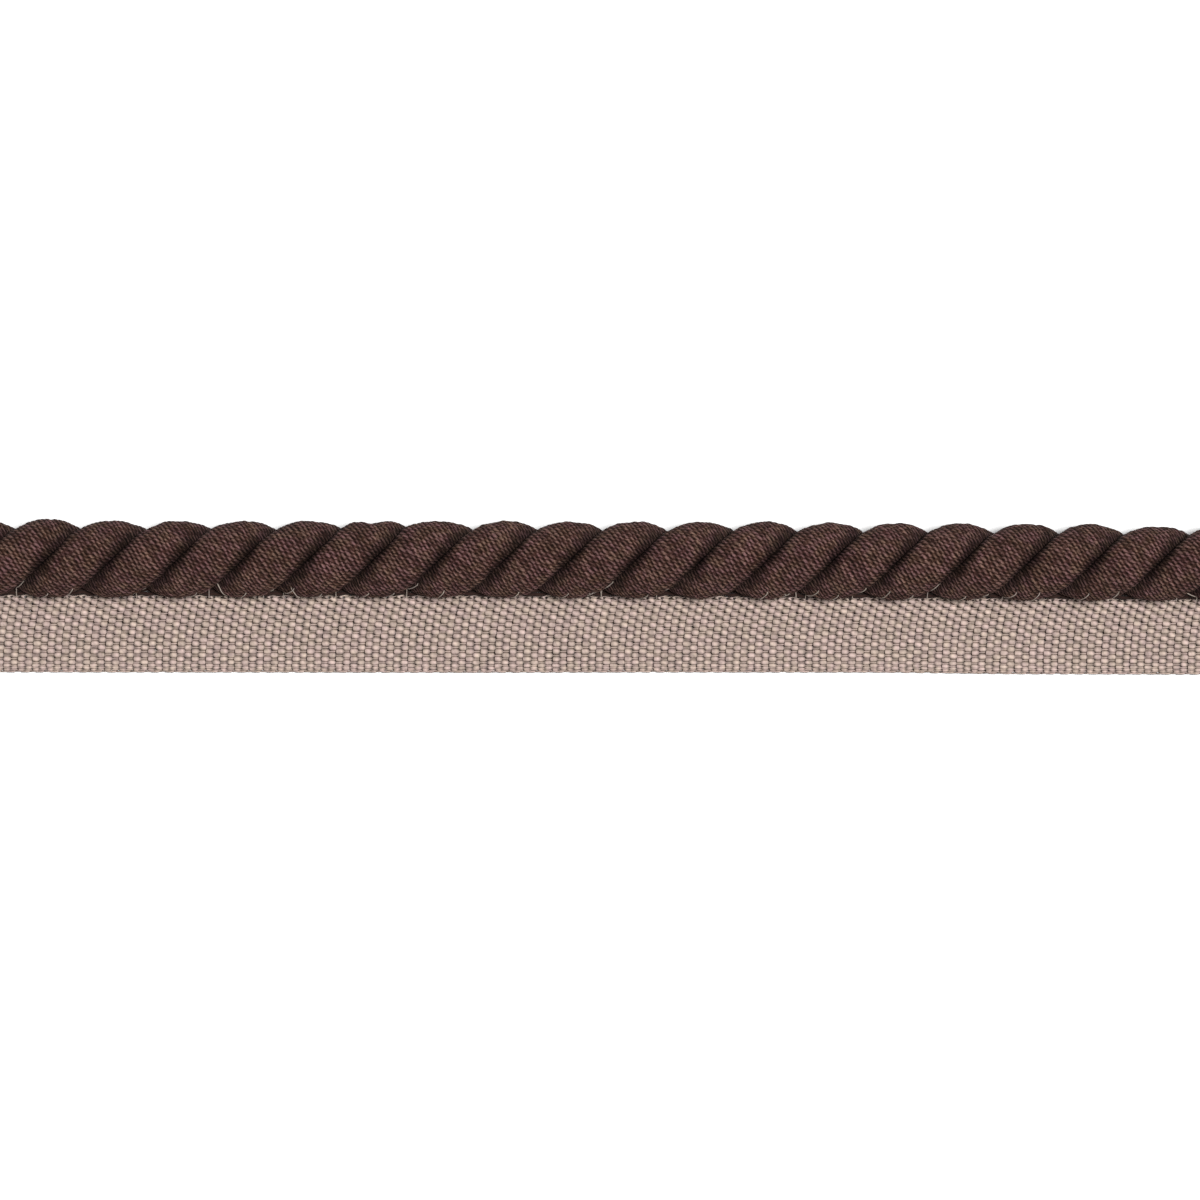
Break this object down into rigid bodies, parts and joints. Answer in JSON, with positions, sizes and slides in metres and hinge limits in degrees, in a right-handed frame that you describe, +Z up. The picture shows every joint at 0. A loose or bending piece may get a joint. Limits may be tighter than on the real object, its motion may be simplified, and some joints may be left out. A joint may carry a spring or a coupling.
{
  "type": "twisted cotton cord on a woven tape",
  "caption": "Straight cut length of twisted cotton cord, sewn along one side to a narrow flat woven tape.",
  "frame": {"origin": "middle of the bottom of the whole trim as it lies", "axes": "+X along the trim, +Y across it towards the cord, with the tape on -Y, +Z up, the good face"},
  "size_m": [0.17, 0.0202, 0.01],
  "materials": {
    "cord": "matt dark brown plied cotton yarn, wound closely round each strand",
    "tape": "matt taupe cotton, plain weave",
    "thread": "pale fine sewing thread"
  },
  "bodies": {
    "root": {"strand_1": "cord", "strand_2": "cord", "tape": "tape"}
  },
  "joints": []
}
